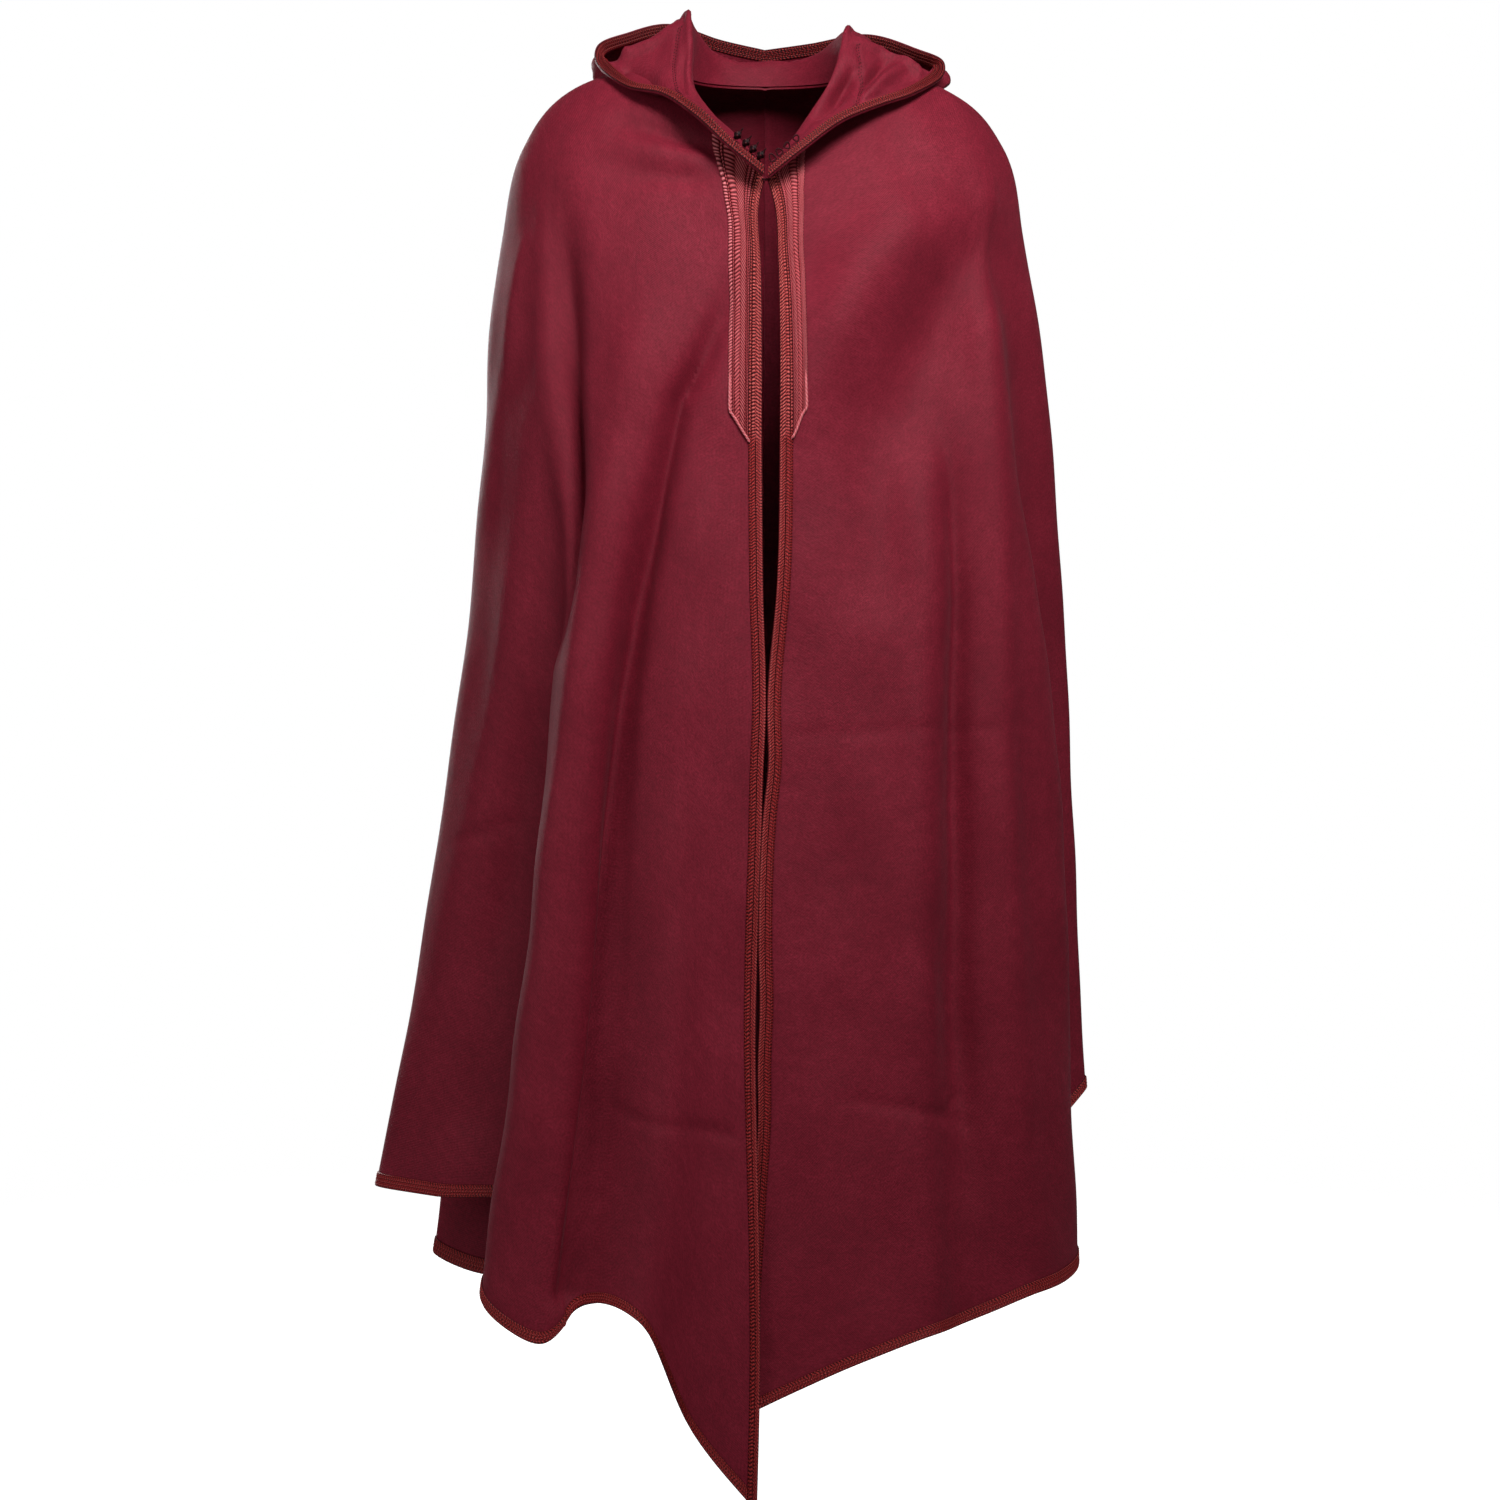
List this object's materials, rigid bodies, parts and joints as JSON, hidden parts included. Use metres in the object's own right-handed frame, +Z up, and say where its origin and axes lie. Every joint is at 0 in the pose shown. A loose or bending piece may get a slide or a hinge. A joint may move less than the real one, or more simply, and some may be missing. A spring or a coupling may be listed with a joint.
{
  "type": "burnous hooded cloak",
  "caption": "Long hooded wool cloak worn open down the front, hood lying back on the shoulders, braid on every edge, knotted buttons and loops at the neck.",
  "frame": {"origin": "middle of the neck opening at shoulder height, where the wearer's shoulders carry the cloak", "axes": "+Z up, along the hanging length; the open front faces -Y; +X is the wearer's left, the viewer's right from the front"},
  "size_m": [0.7535, 0.6068, 1.4935],
  "materials": {
    "wool_cloth": "fulled wool blend, fine nap, matt with a soft sheen, deep burgundy",
    "red_braid": "narrow flat braid, dark red with lighter orange-red threads along it, satin",
    "rose_braid": "wide panel of upright plaited rows in rose red with a smooth cord round it, satin",
    "dark_thread": "dark red-brown knotted silk cord"
  },
  "bodies": {
    "root": {"body_left": "wool_cloth", "body_right": "wool_cloth", "hood_left": "wool_cloth", "hood_right": "wool_cloth", "hood_braid_left": "red_braid", "hood_braid_right": "red_braid", "front_braid_left": "red_braid", "front_braid_right": "red_braid", "hem_braid": "red_braid", "panel_braid_left": "rose_braid", "panel_braid_right": "rose_braid", "button_1": "dark_thread", "button_2": "dark_thread", "button_3": "dark_thread", "button_4": "dark_thread", "loop_1": "dark_thread", "loop_2": "dark_thread", "loop_3": "dark_thread", "loop_4": "dark_thread", "neck_link": "dark_thread"}
  },
  "joints": []
}
